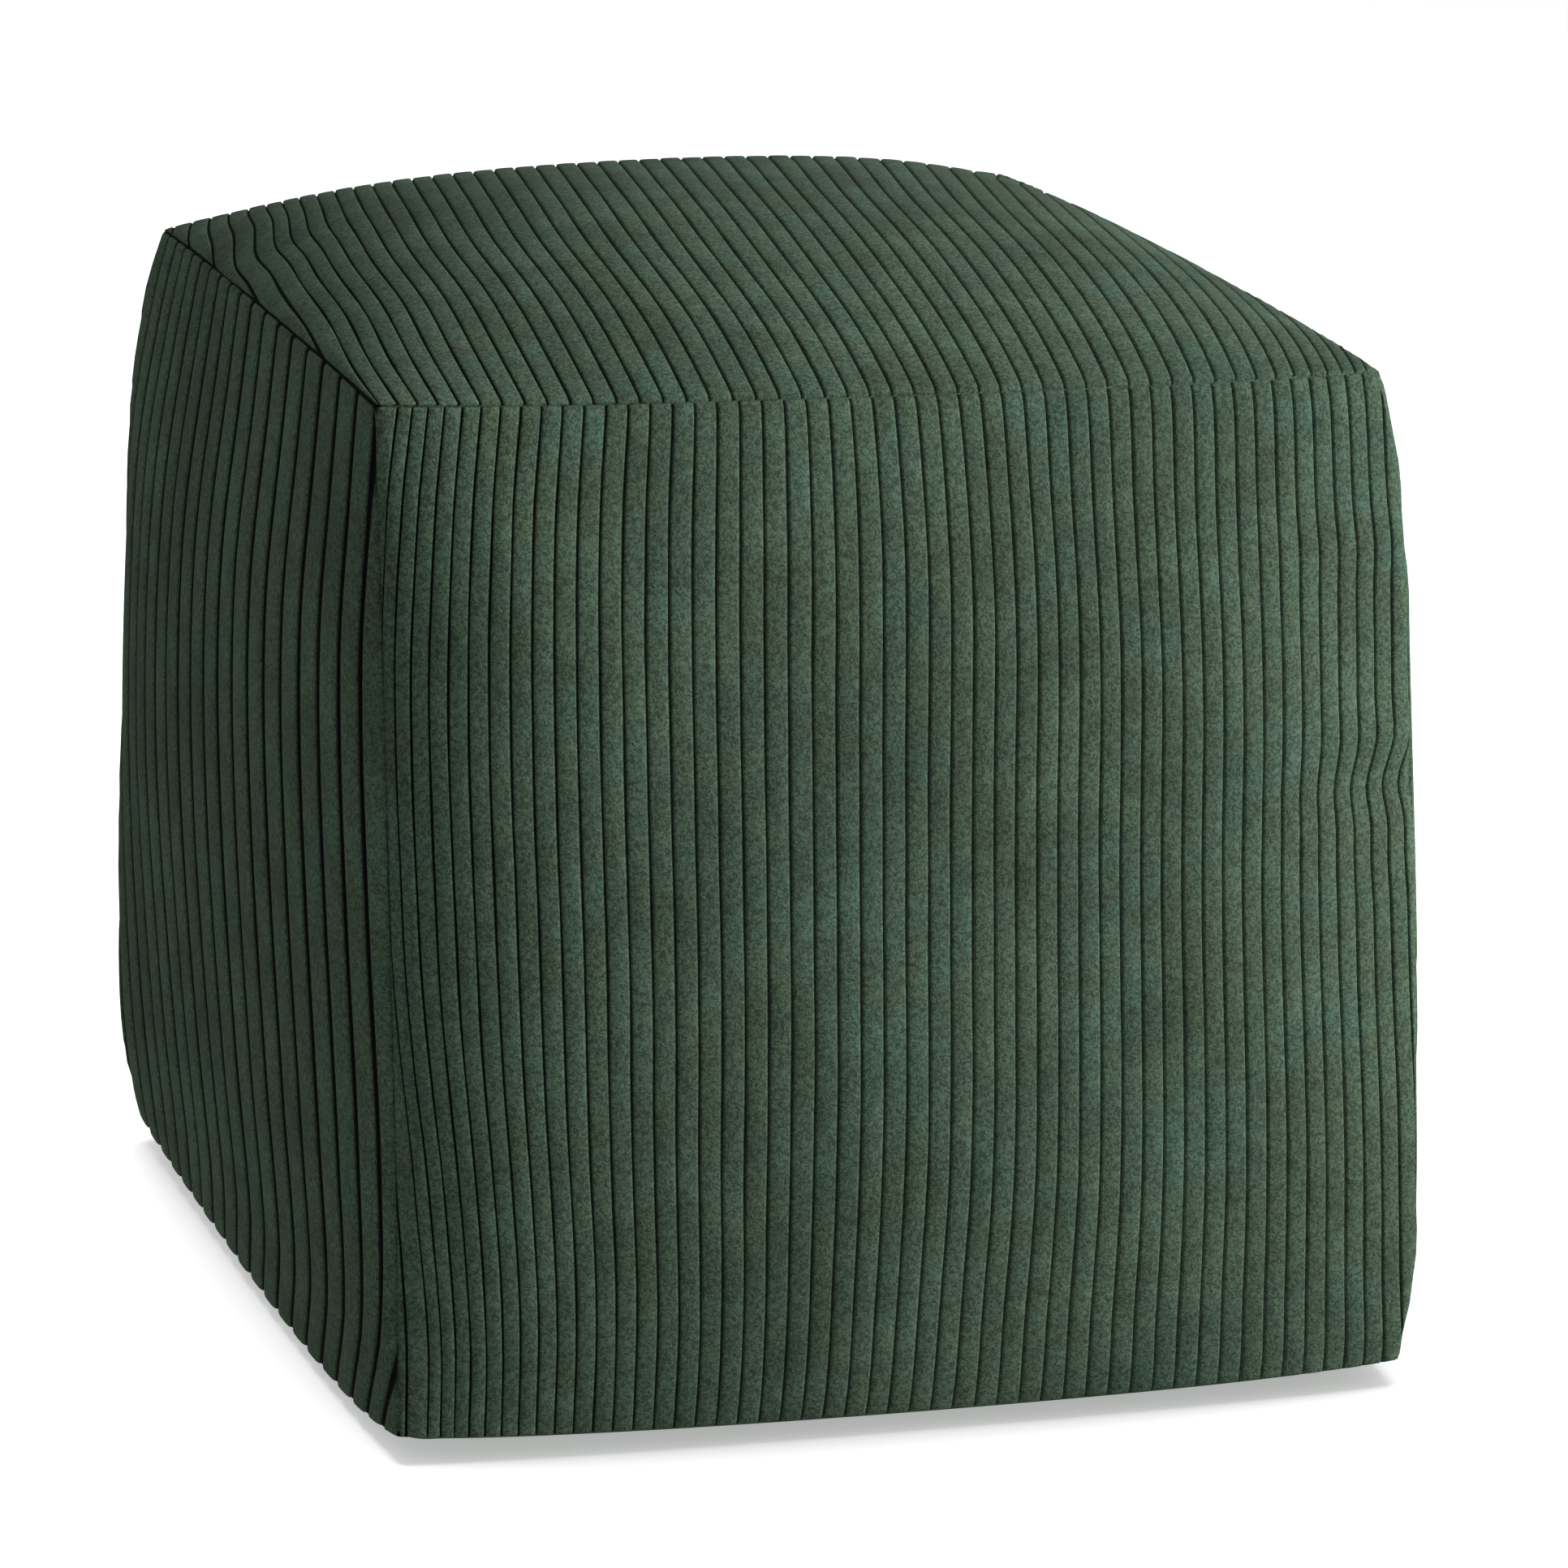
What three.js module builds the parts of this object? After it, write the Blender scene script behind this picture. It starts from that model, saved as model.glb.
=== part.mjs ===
import * as THREE from 'three';

// A cube bean bag in wide-wale corduroy: one filled, closed cushion of six sewn panels.
// Millimetres, +Z up, the front panel faces -Y.
// The origin is under the middle of the bag, on the surface that it rests on.

// Driving sizes of the bag
const SIDE = 420; // the cube, from seam corner to seam corner
const HALF = SIDE / 2;
const BASE_SEAM_HEIGHT = 13; // corners of the base seam above the surface
const FLAT_SHARE = 0.8; // how much of the base, from its middle out, lies flat
const BASE_STEEPNESS = 2; // 1 slopes the base evenly up to its seam, more turns it up late
const SEAM_MARGIN = 6; // from a seam to where the wales reach their full height

// A bow or crown rises as a parabola at fullness 0. It is filled out towards its ends at 1, and
// drawn in to a bell at -1.
const LEVEL_SEAM_FULLNESS = 0.4;
const UPRIGHT_SEAM_FULLNESS = 0.9;

// Wales of the cloth: flat-topped ribs with a narrow groove between them. The pile is the height
// of a wale above the bottom of its groove, the groove is its share of the pitch on each side of
// its bottom line, and the steps are those along the wale.
const NARROW_WALES = { pile: 1.4, groove: 0.12, steps: 7 };
const BROAD_WALES = { pile: 1.8, groove: 0.2, steps: 14 };
const RIM_HEIGHT = 0.6; // share of the pile height where the cloth turns in to a seam
const NARROW_BAND = 0.25; // of a panel's width, where the pitch narrows beside a seam
const SLIVER = 1; // a wale nearer than this to the rim ends there

// Steps along a seam and from the base seam inwards
const STATION_EASE = 0.4; // 0 spaces the lengthwise steps evenly, 1 by a sine
const SEAM_STEPS = 24;
const BASE_RINGS = [0.94, 0.88, FLAT_SHARE];

// The eight corners: side of the cube, and how far the filling has moved each from a true cube
const CORNERS = {
  leftFrontBase: { side: [-1, -1, -1], shift: [8, 3, 0] },
  rightFrontBase: { side: [1, -1, -1], shift: [14, -15, -1] },
  leftBackBase: { side: [-1, 1, -1], shift: [-4, 6, 0] },
  rightBackBase: { side: [1, 1, -1], shift: [6, 5, 0] },
  leftFrontTop: { side: [-1, -1, 1], shift: [-4, 3, 4] },
  rightFrontTop: { side: [1, -1, 1], shift: [-8, 3, -1] },
  leftBackTop: { side: [-1, 1, 1], shift: [6, -3, -6] },
  rightBackTop: { side: [1, 1, 1], shift: [-16, 6, 3] },
};

// The twelve seams: how far the middle bows out across, back and up, how much more (+) of that
// bow lies towards the first end, and the radius of the arc in which the cloth turns over it
const SEAMS = [
  { from: 'leftFrontBase', to: 'rightFrontBase', bow: [0, -7, -4], lean: 0, turn: 3 },
  { from: 'leftBackBase', to: 'rightBackBase', bow: [0, 7, -3], lean: 0, turn: 3 },
  { from: 'leftFrontTop', to: 'rightFrontTop', bow: [0, -7, -1], lean: 0, turn: 4 },
  { from: 'leftBackTop', to: 'rightBackTop', bow: [0, 7, 10], lean: 0, turn: 4 },
  { from: 'leftFrontBase', to: 'leftBackBase', bow: [-3.4, 0, -7], lean: 0.4, turn: 3 },
  { from: 'rightFrontBase', to: 'rightBackBase', bow: [7, 0, -3], lean: 0, turn: 3 },
  { from: 'leftFrontTop', to: 'leftBackTop', bow: [-4, 0, 6], lean: -0.1, turn: 3 },
  { from: 'rightFrontTop', to: 'rightBackTop', bow: [4, 0, 2], lean: 0.1, turn: 3 },
  { from: 'leftFrontBase', to: 'leftFrontTop', bow: [-3, -7, 0], lean: -0.2, turn: 10 },
  { from: 'rightFrontBase', to: 'rightFrontTop', bow: [9, -7, 0], lean: 0, turn: 2 },
  { from: 'leftBackBase', to: 'leftBackTop', bow: [-12.5, 6, 0], lean: 0, turn: 6 },
  { from: 'rightBackBase', to: 'rightBackTop', bow: [7, 7, 0], lean: 0, turn: 6 },
];

// How far the wales drift sideways on their way up a panel: millimetres towards its right, for
// the wales at its left edge, left quarter, middle, right quarter and right edge
const FRONT_DRIFT = [
  { up: -1, leftEdge: 10, leftHalf: 0, middle: -1, rightHalf: 7, rightEdge: 14 },
  { up: -0.8, leftEdge: 12, leftHalf: -1, middle: -1, rightHalf: 2, rightEdge: 6 },
  { up: -0.5, leftEdge: 8, leftHalf: -2, middle: 1, rightHalf: 1, rightEdge: 3 },
  { up: 0, leftEdge: 0, leftHalf: -2, middle: 2, rightHalf: 1, rightEdge: 1 },
  { up: 0.5, leftEdge: -1, leftHalf: -1, middle: 5, rightHalf: 4, rightEdge: 4 },
  { up: 0.8, leftEdge: 3, leftHalf: 2, middle: 8, rightHalf: 7, rightEdge: 5 },
  { up: 1, leftEdge: 8, leftHalf: 7, middle: 11, rightHalf: 13, rightEdge: 12 },
];
const LEFT_DRIFT = [
  { up: -1, leftEdge: 14, leftHalf: -3, middle: -16, rightHalf: -18, rightEdge: -20 },
  { up: -0.8, leftEdge: 24, leftHalf: 14, middle: 8, rightHalf: 6, rightEdge: 2 },
  { up: -0.5, leftEdge: 20, leftHalf: 13, middle: 8, rightHalf: 8, rightEdge: 7 },
  { up: 0, leftEdge: -3, leftHalf: -1, middle: 2, rightHalf: 4, rightEdge: 2 },
  { up: 0.5, leftEdge: 4, leftHalf: -3, middle: -7, rightHalf: -4, rightEdge: 2 },
  { up: 0.8, leftEdge: 20, leftHalf: 2, middle: -4, rightHalf: 2, rightEdge: 14 },
  { up: 1, leftEdge: 18, leftHalf: 0, middle: -9, rightHalf: 2, rightEdge: 24 },
];
const TOP_DRIFT = [
  { up: -1, leftEdge: -2, leftHalf: -1, middle: 0, rightHalf: -2, rightEdge: -2 },
  { up: -0.5, leftEdge: 8, leftHalf: 1, middle: 2, rightHalf: 6, rightEdge: 22 },
  { up: 0, leftEdge: 16, leftHalf: 10, middle: 12, rightHalf: 20, rightEdge: 48 },
  { up: 0.5, leftEdge: 28, leftHalf: 28, middle: 33, rightHalf: 49, rightEdge: 80 },
  { up: 0.8, leftEdge: 39, leftHalf: 44, middle: 53, rightHalf: 75, rightEdge: 101 },
  { up: 1, leftEdge: 48, leftHalf: 58, middle: 70, rightHalf: 93, rightEdge: 117 },
];

const BACK_DRIFT = mirrored(FRONT_DRIFT);
const RIGHT_DRIFT = mirrored(LEFT_DRIFT);

// The five corded panels, seen from outside, with their corners from the lower left
// anticlockwise. The crown has its rise, how much more of it lies high up, and its fullness
// across and up. The wales have their number, the share of one at the left seam, and how much
// narrower they are beside each side seam.
const PANELS = [
  {
    corners: ['leftFrontBase', 'rightFrontBase', 'rightFrontTop', 'leftFrontTop'], out: [0, -1, 0],
    crown: { rise: 13, lean: 0, fullAcross: 0.7, fullUp: 0.3 }, drift: FRONT_DRIFT,
    wales: { ...NARROW_WALES, number: 49.6, first: 0.1, narrowLeft: 0.38, narrowRight: 0.14 },
  },
  {
    corners: ['rightBackBase', 'leftBackBase', 'leftBackTop', 'rightBackTop'], out: [0, 1, 0],
    crown: { rise: 13, lean: 0, fullAcross: 0.7, fullUp: 0.3 }, drift: BACK_DRIFT,
    wales: { ...NARROW_WALES, number: 49.6, first: 0.5, narrowLeft: 0.14, narrowRight: 0.14 },
  },
  {
    corners: ['leftBackBase', 'leftFrontBase', 'leftFrontTop', 'leftBackTop'], out: [-1, 0, 0],
    crown: { rise: 9, lean: 0.5, fullAcross: 0.3, fullUp: -1 }, drift: LEFT_DRIFT,
    wales: { ...BROAD_WALES, number: 18.2, first: 0.3, narrowLeft: -0.2, narrowRight: 0.2 },
  },
  {
    corners: ['rightFrontBase', 'rightBackBase', 'rightBackTop', 'rightFrontTop'], out: [1, 0, 0],
    crown: { rise: 13, lean: 0, fullAcross: 0.3, fullUp: -0.5 }, drift: RIGHT_DRIFT,
    wales: { ...BROAD_WALES, number: 18.2, first: 0.5, narrowLeft: 0.2, narrowRight: -0.2 },
  },
  {
    corners: ['leftFrontTop', 'rightFrontTop', 'rightBackTop', 'leftBackTop'], out: [0, 0, 1],
    crown: { rise: 30.5, lean: 0, fullAcross: 0.7, fullUp: 0.3 }, drift: TOP_DRIFT,
    wales: { ...NARROW_WALES, number: 48.1, first: 0.4, narrowLeft: 0.25, narrowRight: 0.55 },
  },
];
const BASE_CORNERS = ['leftBackBase', 'rightBackBase', 'rightFrontBase', 'leftFrontBase'];

// The drift of a panel's mirror image
function mirrored(drift) {
  return drift.map(({ up, leftEdge, leftHalf, middle, rightHalf, rightEdge }) => ({
    up,
    leftEdge: -rightEdge,
    leftHalf: -rightHalf,
    middle: -middle,
    rightHalf: -leftHalf,
    rightEdge: -leftEdge,
  }));
}

// The sewn shape

function cornerPoint(name) {
  const { side, shift } = CORNERS[name];
  const point = new THREE.Vector3(...side).multiplyScalar(HALF).add(new THREE.Vector3(...shift));
  point.z += HALF + BASE_SEAM_HEIGHT;
  return point;
}

// Rises from 0 at both ends, -1 and 1, to 1 in the middle
function bulge(t, fullness, power) {
  return (1 - fullness) * (1 - t * t) + fullness * (1 - t ** power);
}

function seamBetween(start, end) {
  return SEAMS.find(({ from, to }) => [from, to].includes(start) && [from, to].includes(end));
}

// Where two panels would meet sharply
function seamLine(start, end, t) {
  const seam = seamBetween(start, end);
  const along = seam.from === start ? t : -t;
  const upright = seam.bow[2] === 0;
  const fullness = upright ? UPRIGHT_SEAM_FULLNESS : LEVEL_SEAM_FULLNESS;
  const share = bulge(t, fullness, 6) * (1 - seam.lean * along);
  const point = cornerPoint(start).lerp(cornerPoint(end), (1 + t) / 2);
  return point.addScaledVector(new THREE.Vector3(...seam.bow), share);
}

// The outward directions of the two panels that meet at a seam, added
function bothWaysOut(start, end) {
  const sides = new THREE.Vector3(...CORNERS[start].side);
  return sides.add(new THREE.Vector3(...CORNERS[end].side)).divideScalar(2);
}

// The cloth turns over a seam in an arc, of no radius at the corners
function turnRadius(start, end, t) {
  return seamBetween(start, end).turn * (1 - t ** 4);
}

// A seam lies in the middle of that arc
function seamPoint(start, end, t) {
  const drawnIn = (1 - Math.SQRT1_2) * turnRadius(start, end, t);
  return seamLine(start, end, t).addScaledVector(bothWaysOut(start, end), -drawnIn);
}

// Draws a point of a panel in, where the cloth turns over a seam at a distance from it
function turnIn(point, panel, start, end, along, distance) {
  const radius = turnRadius(start, end, along);
  if (distance >= radius) return;
  const near = distance / radius;
  const angle = (Math.PI / 4) * (1 - near);
  const out = new THREE.Vector3(...panel.out);
  const beyond = bothWaysOut(start, end).sub(out);
  point.addScaledVector(out, -radius * (1 - Math.cos(angle)));
  point.addScaledVector(beyond, -radius * (1 - Math.sin(angle) - near));
}

// A panel stretched between its four seams, with its crown; u runs across and v runs up, -1 to 1
function clothPoint(panel, u, v) {
  const [lowerLeft, lowerRight, upperRight, upperLeft] = panel.corners;
  const right = (1 + u) / 2;
  const up = (1 + v) / 2;
  const point = new THREE.Vector3();
  point.addScaledVector(seamLine(lowerLeft, lowerRight, u), 1 - up);
  point.addScaledVector(seamLine(upperLeft, upperRight, u), up);
  point.addScaledVector(seamLine(lowerLeft, upperLeft, v), 1 - right);
  point.addScaledVector(seamLine(lowerRight, upperRight, v), right);
  point.addScaledVector(cornerPoint(lowerLeft), -(1 - right) * (1 - up));
  point.addScaledVector(cornerPoint(lowerRight), -right * (1 - up));
  point.addScaledVector(cornerPoint(upperRight), -right * up);
  point.addScaledVector(cornerPoint(upperLeft), -(1 - right) * up);
  const { rise, lean, fullAcross, fullUp } = panel.crown;
  const crown = rise * bulge(u, fullAcross, 4) * bulge(v, fullUp, 4) * (1 + lean * v);
  point.addScaledVector(new THREE.Vector3(...panel.out), crown);
  turnIn(point, panel, lowerLeft, lowerRight, u, HALF * (1 + v));
  turnIn(point, panel, upperLeft, upperRight, u, HALF * (1 - v));
  turnIn(point, panel, lowerLeft, upperLeft, v, HALF * (1 + u));
  turnIn(point, panel, lowerRight, upperRight, v, HALF * (1 - u));
  return point;
}

function clothNormal(panel, u, v) {
  const step = 0.01;
  const across = clothPoint(panel, u + step, v).sub(clothPoint(panel, u - step, v));
  const upwards = clothPoint(panel, u, v + step).sub(clothPoint(panel, u, v - step));
  return across.cross(upwards).normalize();
}

// The run of the wales

// A smooth line through evenly or unevenly spaced values
function smooth(places, values, at) {
  let i = 0;
  while (i < places.length - 2 && at > places[i + 1]) i++;
  const slope = (k) => {
    const a = Math.max(0, k - 1);
    const b = Math.min(places.length - 1, k + 1);
    return (values[b] - values[a]) / (places[b] - places[a]);
  };
  const span = places[i + 1] - places[i];
  const t = (at - places[i]) / span;
  const rise = 3 * t * t - 2 * t ** 3;
  const bends = slope(i) * t * (1 - t) ** 2 - slope(i + 1) * t * t * (1 - t);
  return values[i] * (1 - rise) + values[i + 1] * rise + span * bends;
}

function driftAt(drift, u, v) {
  const ups = drift.map(({ up }) => up);
  const byColumn = ['leftEdge', 'leftHalf', 'middle', 'rightHalf', 'rightEdge'].map((column) => (
    smooth(ups, drift.map((row) => row[column]), v)
  ));
  return smooth([-1, -0.5, 0, 0.5, 1], byColumn, THREE.MathUtils.clamp(u, -1, 1));
}

// Where a wale line crosses the panel at height v. Before its drift, the pitch narrows towards each
// side, as the integral of 1 - narrow * (share of the band still to go) squared.
function waleLine(panel, wale, v) {
  const { number, first, narrowLeft, narrowRight } = panel.wales;
  const place = (x) => {
    const left = THREE.MathUtils.clamp(1 - x / NARROW_BAND, 0, 1) ** 3;
    const right = THREE.MathUtils.clamp(1 - (1 - x) / NARROW_BAND, 0, 1) ** 3;
    return x + ((narrowLeft * left - narrowRight * right) * NARROW_BAND) / 3;
  };
  const share = (place((wale + first) / number) - place(0)) / (place(1) - place(0));
  const u = 2 * share - 1;
  return u + driftAt(panel.drift, u, v) / HALF;
}

// The closed skin of the bag

const points = [];
const triangles = [];

function addPoint(point) {
  return points.push(point) - 1;
}

// A triangle with two corners at one point is no triangle: a wale has ended there
function addTriangle(a, b, c) {
  if (a !== b && b !== c && c !== a) triangles.push([a, b, c]);
}

// Each seam is one row of points, shared by the two panels that it joins
const seamRows = new Map();
const cornerIndex = {};
for (const name of Object.keys(CORNERS)) cornerIndex[name] = addPoint(cornerPoint(name));
for (const { from, to } of SEAMS) {
  const row = [{ at: -1, index: cornerIndex[from] }];
  for (let step = 1; step < SEAM_STEPS; step++) {
    const at = -1 + (2 * step) / SEAM_STEPS;
    row.push({ at, index: addPoint(seamPoint(from, to, at)) });
  }
  row.push({ at: 1, index: cornerIndex[to] });
  seamRows.set([from, to].join(), row);
}

function seamRow(start, end) {
  const forwards = seamRows.get([start, end].join());
  if (forwards) return forwards;
  const backwards = seamRows.get([end, start].join());
  return backwards.map(({ at, index }) => ({ at: -at, index })).reverse();
}

// Joins an outer row to an inner one, both running anticlockwise round the panel
function stitch(outer, inner) {
  let i = 0;
  let j = 0;
  while (i < outer.length - 1 || j < inner.length - 1) {
    const nextOuter = i < outer.length - 1 ? outer[i + 1].at : Infinity;
    const nextInner = j < inner.length - 1 ? inner[j + 1].at : Infinity;
    if (nextOuter <= nextInner) {
      addTriangle(outer[i].index, outer[i + 1].index, inner[j].index);
      i++;
    } else {
      addTriangle(outer[i].index, inner[j + 1].index, inner[j].index);
      j++;
    }
  }
}

// Heights from one end of the panel to the other, closer together at the drawn-in ends
function lengthwiseStations(steps, reach) {
  const stations = [];
  for (let step = 0; step <= steps; step++) {
    const even = -1 + (2 * step) / steps;
    const eased = Math.sin((even * Math.PI) / 2);
    stations.push(((1 - STATION_EASE) * even + STATION_EASE * eased) * reach);
  }
  return stations;
}

function addCordedPanel(panel) {
  const reach = 1 - SEAM_MARGIN / HALF;
  const sliver = SLIVER / HALF;
  const { number, pile, groove, steps } = panel.wales;
  const stations = lengthwiseStations(steps, reach);
  const profile = [
    { across: 0, height: 0 },
    { across: groove, height: 1 },
    { across: 1 - groove, height: 1 },
  ];
  const cordPoint = (u, v, height) => {
    const point = clothPoint(panel, u, v).addScaledVector(clothNormal(panel, u, v), pile * height);
    return { u, v, index: addPoint(point) };
  };

  // Wale lines that cross the panel at some height: those that drift in through a side seam too
  const lines = [];
  for (let wale = -Math.ceil(number); wale < 2 * number; wale++) {
    for (const { across, height } of profile) {
      const run = stations.map((v) => waleLine(panel, wale + across, v));
      if (run.some((u) => Math.abs(u) < reach - sliver)) lines.push({ run, height });
    }
  }

  const rows = stations.map((v, station) => {
    const leftRim = cordPoint(-reach, v, RIM_HEIGHT);
    const rightRim = cordPoint(reach, v, RIM_HEIGHT);
    const crossings = lines.map(({ run, height }) => {
      const u = run[station];
      if (u <= -reach + sliver) return leftRim;
      if (u >= reach - sliver) return rightRim;
      return cordPoint(u, v, height);
    });
    return [leftRim, ...crossings, rightRim];
  });

  for (let j = 0; j < rows.length - 1; j++) {
    for (let i = 0; i < rows[j].length - 1; i++) {
      const [a, b] = [rows[j][i].index, rows[j][i + 1].index];
      const [d, c] = [rows[j + 1][i].index, rows[j + 1][i + 1].index];
      addTriangle(a, b, c);
      addTriangle(a, c, d);
    }
  }

  // The grid's rim, side by side with the four seams, anticlockwise
  const [lowerLeft, lowerRight, upperRight, upperLeft] = panel.corners;
  const below = rows[0].map(({ u, index }) => ({ at: u, index }));
  const right = rows.map((row) => row[row.length - 1]).map(({ v, index }) => ({ at: v, index }));
  const above = rows[rows.length - 1].map(({ u, index }) => ({ at: -u, index })).reverse();
  const left = rows.map((row) => row[0]).map(({ v, index }) => ({ at: -v, index })).reverse();
  stitch(seamRow(lowerLeft, lowerRight), below);
  stitch(seamRow(lowerRight, upperRight), right);
  stitch(seamRow(upperRight, upperLeft), above);
  stitch(seamRow(upperLeft, lowerLeft), left);
}

// The base sags from its seam to a flat face, in rings that follow the seam
function addBase() {
  const outline = [];
  BASE_CORNERS.forEach((name, side) => {
    const next = BASE_CORNERS[(side + 1) % BASE_CORNERS.length];
    outline.push(...seamRow(name, next).slice(0, -1).map(({ index }) => index));
  });
  const count = outline.length;
  let ring = outline;
  for (const share of BASE_RINGS) {
    const height = ((share - FLAT_SHARE) / (1 - FLAT_SHARE)) ** BASE_STEEPNESS;
    const inner = outline.map((index) => {
      const { x, y, z } = points[index];
      return addPoint(new THREE.Vector3(x * share, y * share, z * height));
    });
    for (let i = 0; i < count; i++) {
      const next = (i + 1) % count;
      addTriangle(ring[i], ring[next], inner[next]);
      addTriangle(ring[i], inner[next], inner[i]);
    }
    ring = inner;
  }
  const middle = addPoint(new THREE.Vector3(0, 0, 0));
  for (let i = 0; i < count; i++) addTriangle(ring[i], ring[(i + 1) % count], middle);
}

for (const panel of PANELS) addCordedPanel(panel);
addBase();

const coordinates = points.flatMap(({ x, y, z }) => [x, y, z]);
const skin = new THREE.BufferGeometry();
skin.setAttribute('position', new THREE.Float32BufferAttribute(coordinates, 3));
skin.setIndex(triangles.flat());
skin.computeVertexNormals();

// Dark green corduroy
const corduroy = new THREE.MeshStandardMaterial({ color: 0x3f5646, roughness: 0.95, metalness: 0 });

const bag = new THREE.Mesh(skin, corduroy);
bag.name = 'bean_bag';

// The box of the bag is centred over the origin
skin.computeBoundingBox();
const middle = skin.boundingBox.getCenter(new THREE.Vector3());
bag.position.set(-middle.x, -middle.y, 0);

const group = new THREE.Group();
group.add(bag);

export default group;
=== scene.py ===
# %% [markdown]
# # A cube bean bag in wide-wale corduroy
# The real thing is a soft cube about 47 cm across. Five panels of dark green jumbo corduroy and a
# plain base are sewn together along twelve turned seams, and the case is filled until its panels
# crown. The CAD model is already the right size, so it is loaded first and everything is built
# around it.

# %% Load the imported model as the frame
import math
from collections import namedtuple

import bpy
import numpy as np
from mathutils import Matrix, Vector


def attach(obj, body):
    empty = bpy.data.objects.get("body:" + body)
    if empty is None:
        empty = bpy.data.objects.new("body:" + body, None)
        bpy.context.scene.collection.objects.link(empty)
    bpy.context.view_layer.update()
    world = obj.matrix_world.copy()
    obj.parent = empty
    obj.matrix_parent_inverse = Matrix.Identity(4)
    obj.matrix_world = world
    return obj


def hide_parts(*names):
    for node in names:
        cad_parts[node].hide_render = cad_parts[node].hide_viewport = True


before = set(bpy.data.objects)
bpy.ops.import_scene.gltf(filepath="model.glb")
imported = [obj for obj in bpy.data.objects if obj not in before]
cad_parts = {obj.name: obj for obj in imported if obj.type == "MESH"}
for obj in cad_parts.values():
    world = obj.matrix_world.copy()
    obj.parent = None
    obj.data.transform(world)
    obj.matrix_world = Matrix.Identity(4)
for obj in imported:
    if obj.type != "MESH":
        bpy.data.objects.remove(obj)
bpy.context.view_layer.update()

MM = 0.001

# %% [markdown]
# ## The sewn shape
# A bean bag has no straight edge, and it is flat only where it rests. What a maker would recognise
# is where its eight corners sit, how each seam bows out between two corners, and how far each panel
# crowns. So the shape is written as those few numbers, in millimetres, the same ones that the CAD
# model uses. Sculpting the form by hand is another way, but it gives nothing to measure or reuse.
# A seam's row says how it bows, how much that bow leans to one end, the radius of the arc in which
# the cloth turns over it, and how deep the ends of the wales notch it.

# %% Corners and seams
SIDE = 420
HALF = SIDE / 2
BASE_SEAM_HEIGHT = 13
CUBE_MIDDLE = np.array([-4.15, -0.25, HALF + BASE_SEAM_HEIGHT])
LEVEL_SEAM_FULLNESS = 0.4
UPRIGHT_SEAM_FULLNESS = 0.9
SEAM_POWER = 6
TURN_POWER = 4
# TINY keeps a divisor away from zero.
TINY = 1e-6

Corner = namedtuple("Corner", "side shift")
CORNERS = {
    "left front base": Corner((-1, -1, -1), (8, 3, 0)),
    "right front base": Corner((1, -1, -1), (14, -15, -1)),
    "left back base": Corner((-1, 1, -1), (-4, 6, 0)),
    "right back base": Corner((1, 1, -1), (6, 5, 0)),
    "left front top": Corner((-1, -1, 1), (-4, 3, 4)),
    "right front top": Corner((1, -1, 1), (-8, 3, -1)),
    "left back top": Corner((-1, 1, 1), (6, -3, -6)),
    "right back top": Corner((1, 1, 1), (-16, 6, 3)),
}

Seam = namedtuple("Seam", "start end bow lean turn notch")
SEAMS = [
    Seam("left front base", "right front base", (0, -7, -4), 0, 3, 0.6),
    Seam("left back base", "right back base", (0, 7, -3), 0, 3, 0.6),
    Seam("left front top", "right front top", (0, -7, -1), 0, 4, 0.4),
    Seam("left back top", "right back top", (0, 7, 10), 0, 4, 0.2),
    Seam("left front base", "left back base", (-3.4, 0, -7), 0.4, 3, 0.4),
    Seam("right front base", "right back base", (7, 0, -3), 0, 3, 0.6),
    Seam("left front top", "left back top", (-4, 0, 6), -0.1, 3, 1),
    Seam("right front top", "right back top", (4, 0, 2), 0.1, 3, 1),
    Seam("left front base", "left front top", (-3, -7, 0), -0.2, 10, 0.1),
    Seam("right front base", "right front top", (9, -7, 0), 0, 2, 0),
    Seam("left back base", "left back top", (-12.5, 6, 0), 0, 6, 0.4),
    Seam("right back base", "right back top", (7, 7, 0), 0, 6, 0.4),
]


def corner_point(name):
    corner = CORNERS[name]
    return HALF * np.array(corner.side) + np.array(corner.shift) + CUBE_MIDDLE


def bulge(t, fullness, power):
    """Rises from 0 at t = -1 and 1 to 1 in the middle, and is fuller or drawn in on the way."""
    return (1 - fullness) * (1 - t * t) + fullness * (1 - t ** power)


def seam_between(start, end):
    return next(seam for seam in SEAMS if {seam.start, seam.end} == {start, end})


def seam_line(start, end, t):
    """Points where two panels would meet sharply, at t from -1 at the start to 1 at the end."""
    seam = seam_between(start, end)
    along = t if seam.start == start else -t
    fullness = UPRIGHT_SEAM_FULLNESS if seam.bow[2] == 0 else LEVEL_SEAM_FULLNESS
    share = bulge(t, fullness, SEAM_POWER) * (1 - seam.lean * along)
    share = share[..., None]
    way = ((1 + t) / 2)[..., None]
    return (1 - way) * corner_point(start) + way * corner_point(end) + share * np.array(seam.bow)


def both_ways_out(start, end):
    """The outward directions of the two panels that meet at a seam, added."""
    return (np.array(CORNERS[start].side) + np.array(CORNERS[end].side)) / 2


def turn_radius(start, end, t):
    """The cloth turns over a seam in an arc, of hardly any radius at the corners."""
    return seam_between(start, end).turn * (1 - t ** TURN_POWER) + TINY


def seam_points(start, end, t):
    """Points on a seam, in the middle of that arc."""
    drawn_in = (1 - math.sqrt(0.5)) * turn_radius(start, end, t)
    return seam_line(start, end, t) - drawn_in[..., None] * both_ways_out(start, end)


print("Seams:", len(SEAMS), "from corner to corner", SIDE, "mm")

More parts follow.
